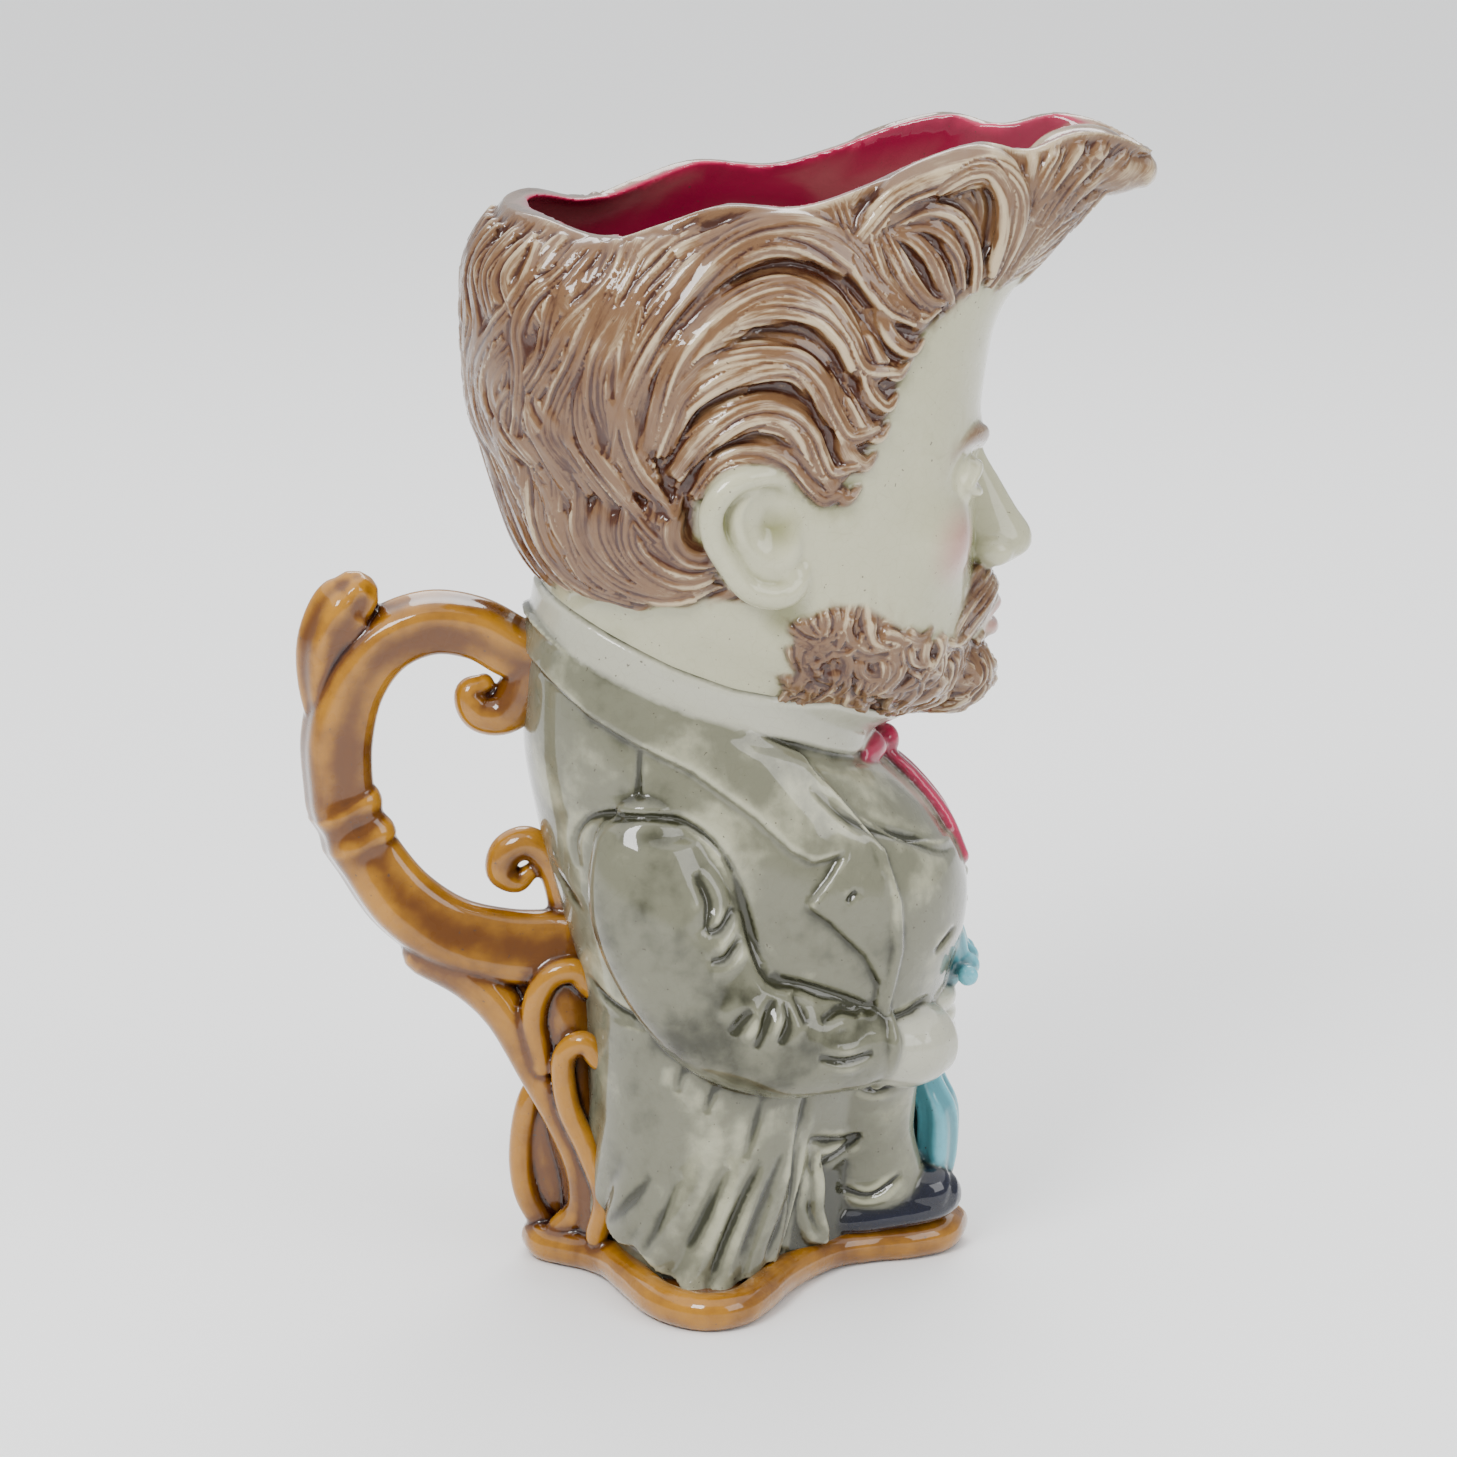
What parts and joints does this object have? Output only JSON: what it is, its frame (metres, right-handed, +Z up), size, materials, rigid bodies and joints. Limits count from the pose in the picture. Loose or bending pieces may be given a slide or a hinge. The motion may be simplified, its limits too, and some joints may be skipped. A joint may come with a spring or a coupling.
{
  "type": "majolica jug",
  "caption": "Hollow glazed figure jug: a standing man whose swept hair opens as the pouring lip, with a scroll handle behind and a lobed plinth.",
  "frame": {"origin": "on the surface the jug stands on, at the middle of the length and of the width that its bounding box has", "axes": "+Z up, +X the way the figure faces and the lip pours, +Y to the figure's left; the handle is on the -X side"},
  "size_m": [0.2029, 0.1179, 0.2786],
  "materials": {
    "glazed_earthenware": "glossy lead glaze in several colours over cream earthenware: tan-brown hair and beard, pale green-cream skin, off-white collar and cuffs, magenta neck bow, grey-olive coat, turquoise cloth, navy shoes, amber handle and plinth, raspberry inside"
  },
  "bodies": {
    "root": {"majolica_jug": "glazed_earthenware"}
  },
  "joints": []
}
